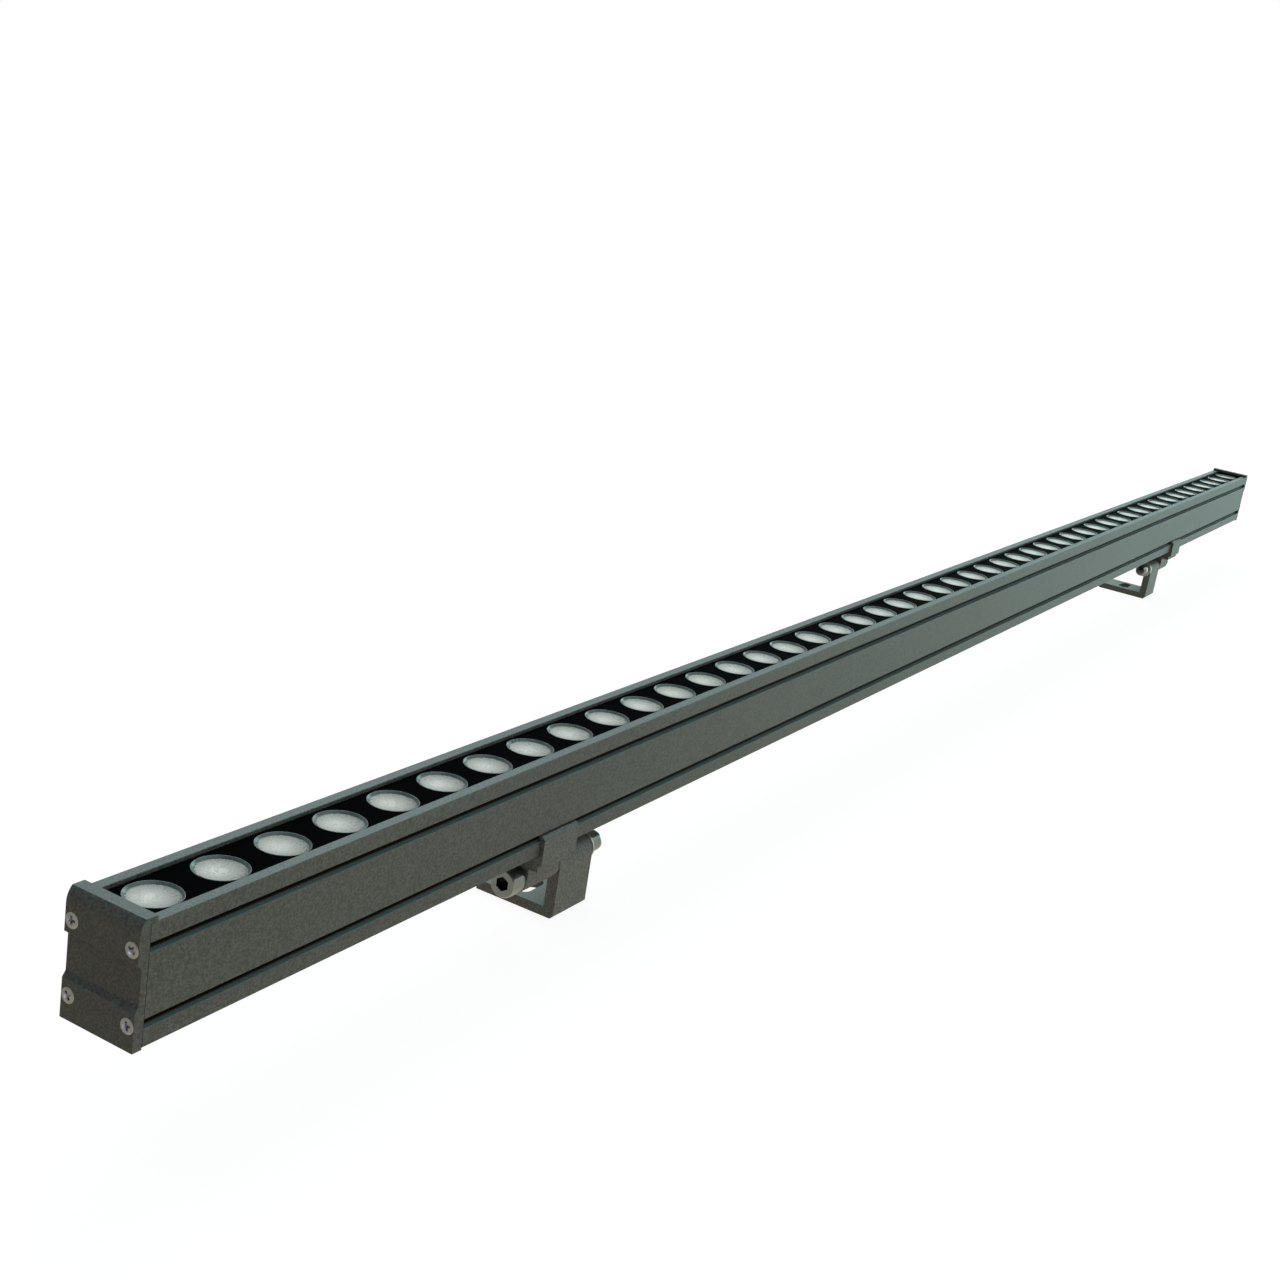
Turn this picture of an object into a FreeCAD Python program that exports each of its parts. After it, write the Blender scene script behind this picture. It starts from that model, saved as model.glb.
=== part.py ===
# LED strip batten: a slim extruded lamp bar on two sliding, tilting foot brackets.
#
# Frame: millimetres, +X along the bar towards the cable end, +Z the way the light
# leaves.  The origin lies on the mounting surface, midway between the fixing slots
# of the two feet.  Most pieces are drawn in the bar's own section: Y from the bar's
# middle plane, Z from the top of its rim, downwards negative.

import os
import FreeCAD, Part
import Sketcher
from FreeCAD import Placement, Rotation, Vector

document = FreeCAD.newDocument("LedStripBatten")
sheet = document.addObject("Spreadsheet::Sheet", "Sizes")

drivingSizes = {
    # the extruded bar
    "barHeight": 44.7,
    "endMargin": 1.2,
    "lensSideGap": 0.8,
    "rimWall": 4.65,
    "ledgeDrop": 5,
    "seatWall": 5.5,
    "floorWall": 3,
    "sideWall": 2.8,
    "bottomWall": 3,
    "edgeRound": 0.4,
    "grooveDepth": 1.6,
    "grooveHeight": 3.5,
    "upperGrooveDrop": 7.2,
    "lowerGrooveRise": 10.25,
    "portWall": 0.25,
    "portBelowGroove": 1.9,
    "portBore": 2.5,
    "portBoss": 2.7,
    # lenses, light sources and their boards
    "lensPitch": 31.2,
    "lensesPerBoard": 12,
    "lensRadius": 10.4,
    "lensRimWidth": 0.6,
    "lensRecess": 1,
    "lensFlange": 2.6,
    "lensNeckRadius": 8.8,
    "lensFootRadius": 5.4,
    "lensHeight": 11,
    "lensTopDrop": 1.4,
    "lensPocketRadius": 3.6,
    "lensPocketDepth": 4,
    "pottingDrop": 1.6,
    "pottingGap": 0.1,
    "ledSide": 3.5,
    "ledBase": 0.9,
    "ledDomeRadius": 1.4,
    "boardThickness": 1.6,
    "boardGap": 0.6,
    "boardSideGap": 0.2,
    "padThickness": 0.3,
    "boardScrewStep": 5,
    "boardScrewRadius": 1.2,
    "boardScrewHole": 1.6,
    "boardScrewTap": 1.25,
    "boardScrewHead": 2.75,
    "boardScrewHeadHeight": 1.8,
    "boardScrewBevelWidth": 0.6,
    "boardScrewBevelHeight": 0.8,
    "boardScrewReach": 4.6,
    "linkLength": 10,
    "linkWidth": 5,
    "linkHeight": 2.2,
    "linkOffset": 7,
    # end caps, gaskets and their screws
    "gasketThickness": 0.25,
    "gasketInset": 0.1,
    "capNose": 4.75,
    "capLip": 2.6,
    "capLipHeight": 2,
    "capNoseReach": 2.25,
    "capNoseDrop": 5.6,
    "capUpperBlock": 13.8,
    "capUndercut": 1.4,
    "capRecess": 3,
    "capSlantRise": 16,
    "capLowerBlockHeight": 14,
    "capLowerBlock": 4.35,
    "capOverhang": 0.6,
    "capScrewHead": 2.95,
    "capScrewHeadProud": 0.15,
    "capScrewRadius": 1.2,
    "capScrewHole": 1.6,
    "capScrewLength": 16,
    "capScrewSeatGap": 0.05,
    "capScrewEdge": 0.25,
    "seatOvershoot": 1,
    "crossWidth": 0.9,
    "crossLength": 3.4,
    "crossDepth": 1.2,
    # cable gland in the far cap
    "glandHeadroom": 9.7,
    "glandBossRadius": 9,
    "glandBossFace": 5,
    "glandThread": 6,
    "glandThreadGap": 0.1,
    "glandThreadReach": 8,
    "glandFlange": 4.5,
    "glandHex": 15,
    "glandSleeve": 9.5,
    "glandBore": 4.2,
    "sealOuter": 5,
    "sealInner": 3.25,
    "sealLength": 8,
    "sealGap": 0.1,
    "glandNutGap": 0.6,
    "glandSealRoom": 0.2,
    "glandFlangeBite": 0.5,
    "glandNutHexLength": 7.5,
    "glandNutLength": 13,
    "glandNutNose": 5.4,
    "glandNutMouth": 3.7,
    "locknutHex": 16,
    "locknutThickness": 4,
    # driver in the lower chamber
    "driverShift": 123,
    "trayLength": 264,
    "traySideGap": 0.4,
    "trayThickness": 1.2,
    "driverLength": 260,
    "driverSideInset": 0.5,
    "driverThickness": 1.6,
    "feedStep": 4,
    "feedHole": 2.6,
    "grommetRadius": 3.5,
    "grommetLip": 1.1,
    "grommetLipHeight": 0.8,
    "wireRadius": 0.8,
    "wireSpread": 1.3,
    "wireTop": 0.8,
    "terminalLength": 8,
    "terminalWidth": 10,
    "terminalHeight": 8,
    "inputTerminalShift": 243,
    "transformerShift": 153,
    "transformerLength": 22,
    "transformerWidth": 18,
    "transformerHeadroom": 7.6,
    "capacitorShift": 189,
    "capacitorStep": 13,
    "capacitorRadius": 5,
    "capacitorHeadroom": 6.6,
    "transistorShift": 43,
    "transistorStep": 24,
    "transistorLength": 10,
    "transistorWidth": 4.5,
    "transistorHeadroom": 8.6,
    # clamps that hook into the lower grooves
    "footSpacing": 960,
    "clampLength": 26.8,
    "clampGap": 0.2,
    "clampWall": 1.7,
    "clampHookHeight": 2.4,
    "clampHookSlope": 1.4,
    "clampHookGap": 0.15,
    "clampWebTop": 4.5,
    "clampWebBottom": 7.7,
    "knuckleWall": 2.6,
    "knuckleInset": 1.8,
    "lockScrewOffset": 9.5,
    "lockScrewRadius": 1.95,
    "lockScrewHole": 2,
    "lockScrewLength": 8,
    "lockScrewSocket": 2,
    "lockScrewTipGap": 0.1,
    # feet
    "axisHeight": 26.7,
    "axisBelowBar": 15.2,
    "axisOffset": 4.8,
    "barrelWall": 2.4,
    "footWidth": 26.8,
    "armThickness": 5.6,
    "baseThickness": 4.8,
    "baseReach": 31.5,
    "footChamfer": 1.6,
    "slotReach": 11.8,
    "slotLength": 18,
    "slotWidth": 8.5,
    # pivot bolts, washers and nuts
    "boltRadius": 4,
    "boltBoreGap": 0.08,
    "boltHeadRim": 2.5,
    "boltHeadHeight": 8,
    "boltHeadBevel": 0.5,
    "boltSocket": 6,
    "boltSocketDepth": 4,
    "boltThreadLeft": 8,
    "washerRim": 2.6,
    "washerThickness": 1.2,
    "frictionThickness": 1.5,
    "frictionGap": 0.15,
    "nutWall": 1,
    "nutBarrel": 7.6,
    "nutThreadGap": 0.1,
    "nutThreadRoom": 0.5,
}
for row, (alias, value) in enumerate(drivingSizes.items(), start=1):
    sheet.set("A%d" % row, alias)
    sheet.set("B%d" % row, str(value))
    sheet.setAlias("B%d" % row, alias)
document.recompute()

# Places that several pieces share, as expressions of the driving sizes.
boardCount = 4
boardSpan = "(Sizes.lensesPerBoard * Sizes.lensPitch)"
barLength = "(%d * %s + 2 * Sizes.endMargin)" % (boardCount, boardSpan)
barEnd = barLength + " / 2"
halfWidth = "(Sizes.lensRadius + Sizes.lensSideGap + Sizes.seatWall)"
barWidth = "(2 * %s)" % halfWidth
lowerGrooveDrop = "(Sizes.barHeight - Sizes.lowerGrooveRise)"
upperPortDrop = "(Sizes.upperGrooveDrop + Sizes.portBelowGroove)"
lowerPortDrop = "(%s + Sizes.portBelowGroove)" % lowerGrooveDrop
portSpread = "(%s - Sizes.grooveDepth - Sizes.portWall - Sizes.portBore / 2)" % halfWidth
boardTop = "(Sizes.lensTopDrop + Sizes.lensHeight)"
floorTop = "(%s + Sizes.boardThickness + Sizes.padThickness)" % boardTop
chamberTop = "(%s + Sizes.floorWall)" % floorTop
chamberFloor = "(Sizes.barHeight - Sizes.bottomWall)"
driverTop = "(%s - Sizes.trayThickness - Sizes.driverThickness)" % chamberFloor
headroom = "(%s - %s)" % (driverTop, chamberTop)
glandDrop = "(%s + Sizes.glandHeadroom)" % chamberTop
axisDrop = "(Sizes.barHeight + Sizes.axisBelowBar)"
barTop = "(Sizes.axisHeight + %s)" % axisDrop
boardHalfWidth = "(Sizes.lensRadius + Sizes.lensSideGap - Sizes.boardSideGap)"
feedX = "(1.5 * %s - Sizes.feedStep * Sizes.lensPitch)" % boardSpan
trayWidth = "(2 * (%s - Sizes.portBoss - Sizes.traySideGap))" % portSpread
barrelRadius = "(Sizes.boltRadius + Sizes.barrelWall)"
knuckleRadius = "(Sizes.boltRadius + Sizes.knuckleWall)"
headRadius = "(Sizes.boltRadius + Sizes.boltHeadRim)"
washerRadius = "(Sizes.boltRadius + Sizes.washerRim)"
nutRadius = "(Sizes.boltRadius + Sizes.nutWall)"
footX = "Sizes.footSpacing / 2"
frictionStation = "(%s + Sizes.footWidth / 2)" % footX
clampInner = "(%s + Sizes.frictionThickness + 2 * Sizes.frictionGap)" % frictionStation
clampX = "(%s + Sizes.clampLength / 2)" % clampInner
clampOuter = "(%s + Sizes.clampLength - Sizes.knuckleInset)" % clampInner
boltSeat = "(%s + Sizes.washerThickness)" % clampOuter
nutSeat = "(%s - Sizes.footWidth / 2 - Sizes.frictionGap - Sizes.washerThickness)" % footX
sideNames = {"near": -1, "far": 1}


def number(expression):
    """Value of an expression over the sheet, as a plain number."""
    result = sheet.evalExpression(str(expression))
    return float(getattr(result, "Value", result))


def newBody(name, x="0", y="-Sizes.slotReach", z=barTop, turn=0):
    """A body of its own, placed in the model's frame by expressions."""
    body = document.addObject("PartDesign::Body", name)
    body.Label = name
    body.AllowCompound = True
    body.Placement = Placement(Vector(0, 0, 0), Rotation(Vector(0, 0, 1), turn))
    body.setExpression("Placement.Base.x", x)
    body.setExpression("Placement.Base.y", y)
    body.setExpression("Placement.Base.z", z)
    return body


def originFeature(body, role):
    return next(item for item in body.Origin.OriginFeatures if item.Role == role)


def newSketch(body, name, plane, offset="0"):
    sketch = body.newObject("Sketcher::SketchObject", name)
    sketch.AttachmentSupport = [(originFeature(body, plane), "")]
    sketch.MapMode = "FlatFace"
    sketch.setExpression("AttachmentOffset.Base.z", offset)
    return sketch


def holdPoint(sketch, edge, end, x, y):
    """Fix one end of an edge at (x, y), bound to the sheet."""
    for kind, expression in (("DistanceX", x), ("DistanceY", y)):
        rule = Sketcher.Constraint(kind, -1, 1, edge, end, number(expression))
        index = sketch.addConstraint(rule)
        sketch.setExpression("Constraints[%d]" % index, expression)


def addOutline(sketch, corners):
    """Closed outline.  A corner is (x, y), or (x, y, radius) where an arc of that
    radius, turning anticlockwise, runs on to the next corner."""
    first = sketch.GeometryCount
    count = len(corners)
    for index, corner in enumerate(corners):
        follower = corners[(index + 1) % count]
        start = Vector(number(corner[0]), number(corner[1]), 0)
        end = Vector(number(follower[0]), number(follower[1]), 0)
        if len(corner) == 2:
            sketch.addGeometry(Part.LineSegment(start, end), False)
            continue
        radius = number(corner[2])
        chord = end - start
        normal = Vector(-chord.y, chord.x, 0).normalize()
        height = (max(radius ** 2 - (chord.Length / 2) ** 2, 0)) ** 0.5
        centre = (start + end) / 2 + normal * height
        middle = centre - normal * radius
        arc = Part.Arc(start, middle, end)
        sketch.addGeometry(arc, False)
    for index in range(count):
        edge = first + index
        follower = first + (index + 1) % count
        endMark = endOf(sketch, edge, corners[(index + 1) % count])
        startMark = 3 - endOf(sketch, follower, corners[(index + 2) % count])
        sketch.addConstraint(Sketcher.Constraint("Coincident", edge, endMark, follower, startMark))
    for index, corner in enumerate(corners):
        edge = first + index
        startMark = 3 - endOf(sketch, edge, corners[(index + 1) % count])
        holdPoint(sketch, edge, startMark, corner[0], corner[1])
        if len(corner) == 3:
            rule = Sketcher.Constraint("Radius", edge, number(corner[2]))
            place = sketch.addConstraint(rule)
            sketch.setExpression("Constraints[%d]" % place, corner[2])


def endOf(sketch, edge, corner):
    """Which end mark (1 or 2) of an edge lies at the corner."""
    target = Vector(number(corner[0]), number(corner[1]), 0)
    gaps = [sketch.getPoint(edge, mark).distanceToPoint(target) for mark in (1, 2)]
    return 1 if gaps[0] < gaps[1] else 2


def addCircle(sketch, x, y, radius):
    centre = Vector(number(x), number(y), 0)
    edge = sketch.addGeometry(Part.Circle(centre, Vector(0, 0, 1), number(radius)), False)
    holdPoint(sketch, edge, 3, x, y)
    index = sketch.addConstraint(Sketcher.Constraint("Radius", edge, number(radius)))
    sketch.setExpression("Constraints[%d]" % index, radius)


def addRectangle(sketch, x, y, width, height):
    """Rectangle centred on (x, y)."""
    low = ("%s - (%s) / 2" % (x, width), "%s - (%s) / 2" % (y, height))
    high = ("%s + (%s) / 2" % (x, width), "%s + (%s) / 2" % (y, height))
    addOutline(sketch, [low, (high[0], low[1]), high, (low[0], high[1])])


def addHexagon(sketch, acrossFlats):
    """Hexagon about the sketch's origin, with a corner up."""
    flat = "(%s) / 2" % acrossFlats
    slope = "(%s) / 2 / sqrt(3)" % acrossFlats
    point = "(%s) / sqrt(3)" % acrossFlats
    addOutline(sketch, [("0", "-" + point), (flat, "-" + slope), (flat, slope),
                        ("0", point), ("-" + flat, slope), ("-" + flat, "-" + slope)])


def pad(body, sketch, length, symmetric=False, reversed=False):
    feature = body.newObject("PartDesign::Pad", sketch.Name + "Pad")
    feature.Profile = sketch
    feature.SideType = "Symmetric" if symmetric else "One side"
    feature.Reversed = reversed
    feature.setExpression("Length", length)
    return feature


def pocket(body, sketch, length=None, reversed=False):
    """Cut of a given depth, or right through both ways when no depth is given."""
    feature = body.newObject("PartDesign::Pocket", sketch.Name + "Pocket")
    feature.Profile = sketch
    feature.Reversed = reversed
    if length is None:
        feature.Type = "ThroughAll"
        feature.SideType = "Symmetric"
    else:
        feature.setExpression("Length", length)
    return feature


def revolve(body, sketch, axis, kind="Revolution"):
    """Full turn of a sketch about one of its own axes, adding or cutting."""
    feature = body.newObject("PartDesign::" + kind, sketch.Name + "Turn")
    feature.Profile = sketch
    feature.ReferenceAxis = (sketch, [axis])
    feature.Angle = 360
    return feature


def repeatAlongX(body, originals, length, count):
    feature = body.newObject("PartDesign::LinearPattern", body.Name + "Row")
    feature.Originals = originals
    feature.Direction = (originFeature(body, "X_Axis"), [""])
    feature.setExpression("Length", length)
    feature.setExpression("Occurrences", count)
    body.Tip = feature
    return feature


def roundEdges(body, radius, test):
    """Round the straight edges along X whose (y, z) passes the test."""
    document.recompute()
    base = body.Tip
    names = []
    for index, edge in enumerate(base.Shape.Edges, start=1):
        start, end = edge.Vertexes[0].Point, edge.Vertexes[-1].Point
        alongX = abs(start.y - end.y) < 1e-6 and abs(start.z - end.z) < 1e-6
        if alongX and edge.Length > 1 and test(start.y, start.z):
            names.append("Edge%d" % index)
    feature = body.newObject("PartDesign::Fillet", body.Name + "Round")
    feature.Base = (base, names)
    feature.setExpression("Radius", radius)
    return feature


def mirrored(points):
    """The points, followed by their mirror images in reverse order."""
    return points + [("-(%s)" % y, z) for y, z in reversed(points)]


# ---- the bar -------------------------------------------------------------

def grooveCorners(drop):
    """Outline of one side groove on the +Y side, from top to bottom."""
    depth = halfWidth + " - Sizes.grooveDepth"
    bottom = "-(%s + Sizes.grooveHeight)" % drop
    return [(halfWidth, "-" + drop), (depth, "-" + drop), (depth, bottom), (halfWidth, bottom)]


def chamberOutline():
    """Driver chamber, narrowed where the lower screw ports pass."""
    side = halfWidth + " - Sizes.sideWall"
    boss = portSpread + " - Sizes.portBoss"
    bossTop = "-(%s - Sizes.portBoss)" % lowerPortDrop
    bossBottom = "-(%s + Sizes.portBoss)" % lowerPortDrop
    return mirrored([(side, "-" + chamberTop), (side, bossTop), (boss, bossTop),
                     (boss, bossBottom), (side, bossBottom), (side, "-" + chamberFloor)])


def makeHousing():
    body = newBody("housing")
    section = newSketch(body, "barSection", "YZ_Plane")
    outside = [(halfWidth, "0")]
    outside += grooveCorners("Sizes.upperGrooveDrop")
    outside += grooveCorners(lowerGrooveDrop)
    outside += [(halfWidth, "-Sizes.barHeight")]
    mouth = halfWidth + " - Sizes.rimWall"
    seat = halfWidth + " - Sizes.seatWall"
    trough = [("-(%s)" % mouth, "0"), ("-(%s)" % mouth, "-Sizes.ledgeDrop"),
              ("-(%s)" % seat, "-Sizes.ledgeDrop"), ("-(%s)" % seat, "-" + floorTop),
              (seat, "-" + floorTop), (seat, "-Sizes.ledgeDrop"),
              (mouth, "-Sizes.ledgeDrop"), (mouth, "0")]
    addOutline(section, mirrored(outside) + trough)
    addOutline(section, chamberOutline())
    for y, drop in portPlaces():
        addCircle(section, y, "-" + drop, "Sizes.portBore / 2")
    pad(body, section, barLength, symmetric=True)
    taps = newSketch(body, "boardScrewTaps", "XY_Plane", "-" + floorTop)
    for board in range(boardCount):
        for x in boardScrewPlaces(boardX(board)):
            addCircle(taps, x, "0", "Sizes.boardScrewTap")
    pocket(body, taps, "Sizes.floorWall")
    feed = newSketch(body, "grommetHole", "XY_Plane", "-" + floorTop)
    addCircle(feed, feedX, "0", "Sizes.grommetRadius")
    pocket(body, feed, "Sizes.floorWall")
    outer = number(halfWidth)
    roundEdges(body, "Sizes.edgeRound",
               lambda y, z: abs(abs(y) - outer) < 1e-6 or (abs(z) < 1e-6 and abs(y) < outer))


def portPlaces():
    """Centres of the four screw ports as (y, drop) expressions."""
    return [(sign + portSpread, drop)
            for drop in (upperPortDrop, lowerPortDrop) for sign in ("-", "")]


# ---- boards, lenses and light sources ----------------------------------

def boardX(board):
    return "(%s * %g)" % (boardSpan, board - (boardCount - 1) / 2)


def boardScrewPlaces(centre):
    step = "Sizes.boardScrewStep * Sizes.lensPitch"
    return ["%s - %s" % (centre, step), centre, "%s + %s" % (centre, step)]


def makeBoard(name, board, bottomDrop, thickness):
    """A board or a thermal pad: a strip with screw holes and a feed hole."""
    body = newBody(name, x=boardX(board))
    outline = newSketch(body, name + "Outline", "XY_Plane", "-" + bottomDrop)
    addRectangle(outline, "0", "0", boardSpan + " - Sizes.boardGap", "2 * " + boardHalfWidth)
    for x in boardScrewPlaces("0"):
        addCircle(outline, x, "0", "Sizes.boardScrewHole")
    addCircle(outline, "-Sizes.feedStep * Sizes.lensPitch", "0", "Sizes.feedHole")
    pad(body, outline, thickness)


def makeBoardScrews():
    body = newBody("board_screws", z="%s - %s" % (barTop, boardTop))
    profile = newSketch(body, "boardScrewProfile", "XZ_Plane")
    addOutline(profile, [("0", "Sizes.boardScrewHeadHeight"),
                         ("Sizes.boardScrewHead - Sizes.boardScrewBevelWidth",
                          "Sizes.boardScrewHeadHeight"),
                         ("Sizes.boardScrewHead",
                          "Sizes.boardScrewHeadHeight - Sizes.boardScrewBevelHeight"),
                         ("Sizes.boardScrewHead", "0"), ("Sizes.boardScrewRadius", "0"),
                         ("Sizes.boardScrewRadius", "-Sizes.boardScrewReach"),
                         ("0", "-Sizes.boardScrewReach")])
    screw = revolve(body, profile, "V_Axis")
    body.setExpression("Placement.Base.x", boardScrewPlaces(boardX(0))[0])
    rowFeature = body.newObject("PartDesign::LinearPattern", "boardScrewRows")
    rowFeature.Originals = [screw]
    rowFeature.Direction = (originFeature(body, "X_Axis"), [""])
    rowFeature.setExpression("Length", "2 * Sizes.boardScrewStep * Sizes.lensPitch")
    rowFeature.Occurrences = 3
    rowFeature.Direction2 = (originFeature(body, "X_Axis"), [""])
    rowFeature.setExpression("Length2", "%s * %d" % (boardSpan, boardCount - 1))
    rowFeature.Occurrences2 = boardCount
    body.Tip = rowFeature


def firstLensX(board):
    return "%s - (Sizes.lensesPerBoard - 1) / 2 * Sizes.lensPitch" % boardX(board)


def makeLenses(name, board):
    body = newBody(name, x=firstLensX(board), z=barTop + " - Sizes.lensTopDrop")
    profile = newSketch(body, name + "Profile", "XZ_Plane")
    disc = "Sizes.lensRadius - Sizes.lensRimWidth"
    pocketTop = "-(Sizes.lensHeight - Sizes.lensPocketDepth)"
    addOutline(profile, [("0", "-Sizes.lensRecess"), (disc, "-Sizes.lensRecess"), (disc, "0"),
                         ("Sizes.lensRadius", "0"), ("Sizes.lensRadius", "-Sizes.lensFlange"),
                         ("Sizes.lensNeckRadius", "-Sizes.lensFlange"),
                         ("Sizes.lensFootRadius", "-Sizes.lensHeight"),
                         ("Sizes.lensPocketRadius", "-Sizes.lensHeight"),
                         ("Sizes.lensPocketRadius", pocketTop), ("0", pocketTop)])
    lens = revolve(body, profile, "V_Axis")
    repeatAlongX(body, [lens], "Sizes.lensPitch * (Sizes.lensesPerBoard - 1)",
                 "Sizes.lensesPerBoard")


def makeLeds(name, board):
    body = newBody(name, x=firstLensX(board), z="%s - %s" % (barTop, boardTop))
    base = newSketch(body, name + "Base", "XY_Plane")
    addRectangle(base, "0", "0", "Sizes.ledSide", "Sizes.ledSide")
    chip = pad(body, base, "Sizes.ledBase")
    profile = newSketch(body, name + "Dome", "XZ_Plane")
    addOutline(profile, [("0", "0"), ("Sizes.ledDomeRadius", "0"),
                         ("Sizes.ledDomeRadius", "Sizes.ledBase", "Sizes.ledDomeRadius"),
                         ("0", "Sizes.ledBase + Sizes.ledDomeRadius")])
    dome = revolve(body, profile, "V_Axis")
    repeatAlongX(body, [chip, dome], "Sizes.lensPitch * (Sizes.lensesPerBoard - 1)",
                 "Sizes.lensesPerBoard")


def makePotting():
    """Black sealing layer that fills the trough around the lens flanges."""
    body = newBody("potting_seal")
    outline = newSketch(body, "pottingOutline", "XY_Plane", "-Sizes.ledgeDrop")
    addRectangle(outline, "0", "0", barLength, barWidth + " - 2 * Sizes.rimWall")
    pad(body, outline, "Sizes.ledgeDrop - Sizes.pottingDrop")
    hole = newSketch(body, "pottingHole", "XY_Plane", "-Sizes.ledgeDrop")
    addCircle(hole, firstLensX(0), "0", "Sizes.lensRadius + Sizes.pottingGap")
    cut = pocket(body, hole)
    repeatAlongX(body, [cut], "Sizes.lensPitch * (Sizes.lensesPerBoard * %d - 1)" % boardCount,
                 "Sizes.lensesPerBoard * %d" % boardCount)


def makeBoardLinks():
    """Plug-in bridges that carry the supply from one board to the next."""
    body = newBody("board_links", x=boardX(0.5), z="%s - %s" % (barTop, boardTop))
    outline = newSketch(body, "linkOutline", "XY_Plane")
    addRectangle(outline, "0", "Sizes.linkOffset", "Sizes.linkLength", "Sizes.linkWidth")
    link = pad(body, outline, "Sizes.linkHeight")
    repeatAlongX(body, [link], "%s * %d" % (boardSpan, boardCount - 2), "%d" % (boardCount - 1))


# ---- end caps --------------------------------------------------------------

def makeCap(side, sign):
    """End cap cast to one section across its width.  The section is drawn as
    (distance out from the bar's end, height above the rim)."""
    out = "%g * " % sign
    body = newBody(side + "_end_cap", x=out + barEnd)
    section = newSketch(body, side + "CapSection", "XZ_Plane")
    noseRadius = "(Sizes.capNoseReach ^ 2 + Sizes.capNoseDrop ^ 2) / 2 / Sizes.capNoseReach"
    lower = "Sizes.capLowerBlock"
    slantBottom = "-(Sizes.barHeight - Sizes.capLowerBlockHeight)"
    slantTop = "-(Sizes.barHeight - Sizes.capSlantRise)"
    corners = [
        ("-Sizes.capLip", "0"),
        ("Sizes.gasketThickness", "0"),
        ("Sizes.gasketThickness", "-(Sizes.barHeight + Sizes.capOverhang)"),
        (lower, "-(Sizes.barHeight + Sizes.capOverhang)"),
        (lower, slantBottom),
        ("Sizes.capRecess", slantTop),
        ("Sizes.capRecess", "-(Sizes.capUpperBlock + Sizes.capUndercut)"),
        ("Sizes.capNose", "-Sizes.capUpperBlock"),
        ("Sizes.capNose", "Sizes.capLipHeight - Sizes.capNoseDrop", noseRadius),
        ("Sizes.capNose - Sizes.capNoseReach", "Sizes.capLipHeight"),
        ("-Sizes.capLip", "Sizes.capLipHeight"),
    ]
    points = [(out + "(%s)" % corner[0],) + corner[1:] for corner in corners]
    if sign < 0:
        arcStart, arcEnd = points[8], points[9]
        points[8] = arcStart[:2]
        points[9] = arcEnd + (noseRadius,)
        points = [points[0]] + points[:0:-1]
    addOutline(section, points)
    pad(body, section, barWidth, symmetric=True)
    if sign > 0:
        boss = newSketch(body, "glandBoss", "YZ_Plane", "Sizes.gasketThickness")
        addCircle(boss, "0", "-" + glandDrop, "Sizes.glandBossRadius")
        pad(body, boss, "Sizes.glandBossFace - Sizes.gasketThickness")
        bore = newSketch(body, "glandHole", "YZ_Plane")
        addCircle(bore, "0", "-" + glandDrop, "Sizes.glandThread + Sizes.glandThreadGap")
        pocket(body, bore)
    for index, (y, drop) in enumerate(portPlaces()):
        addScrewSeat(body, side, index, sign, y, drop)


def screwFace(drop):
    """How far out the cap's face lies where a screw sits."""
    return "Sizes.capNose" if drop == upperPortDrop else "Sizes.capLowerBlock"


def addScrewSeat(body, side, index, sign, y, drop):
    """Countersunk through hole for one cap screw."""
    seat = newSketch(body, "%sScrewSeat%d" % (side, index), "XZ_Plane", "-(%s)" % y)
    out = "%g * " % sign
    face = screwFace(drop)
    mouth = "Sizes.capScrewHead + Sizes.capScrewEdge - Sizes.capScrewHeadProud"
    mouth += " + Sizes.capScrewSeatGap"
    shift = "-%s" % drop
    inside = "-Sizes.seatOvershoot"
    outside = face + " + Sizes.seatOvershoot"
    corners = [(inside, "0"), (inside, "Sizes.capScrewHole"),
               ("%s - (%s - Sizes.capScrewHole)" % (face, mouth), "Sizes.capScrewHole"),
               (face, mouth), (outside, mouth), (outside, "0")]
    points = [(out + "(%s)" % x, "%s + (%s)" % (shift, radius)) for x, radius in corners]
    addOutline(seat, points if sign < 0 else points[::-1])
    axisLine = Part.LineSegment(Vector(0, number(shift), 0), Vector(1, number(shift), 0))
    axis = seat.addGeometry(axisLine, True)
    holdPoint(seat, axis, 1, "0", shift)
    holdPoint(seat, axis, 2, "1", shift)
    revolve(body, seat, "Axis0", kind="Groove")


def makeGasket(side, sign):
    body = newBody(side + "_gasket", x="%g * (%s)" % (sign, barEnd))
    outline = newSketch(body, side + "GasketOutline", "YZ_Plane")
    addRectangle(outline, "0", "-Sizes.barHeight / 2", barWidth + " - 2 * Sizes.gasketInset",
                 "Sizes.barHeight - 2 * Sizes.gasketInset")
    addOutline(outline, chamberOutline())
    for y, drop in portPlaces():
        addCircle(outline, y, "-" + drop, "Sizes.capScrewHole")
    pad(body, outline, "Sizes.gasketThickness", reversed=sign < 0)


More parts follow.
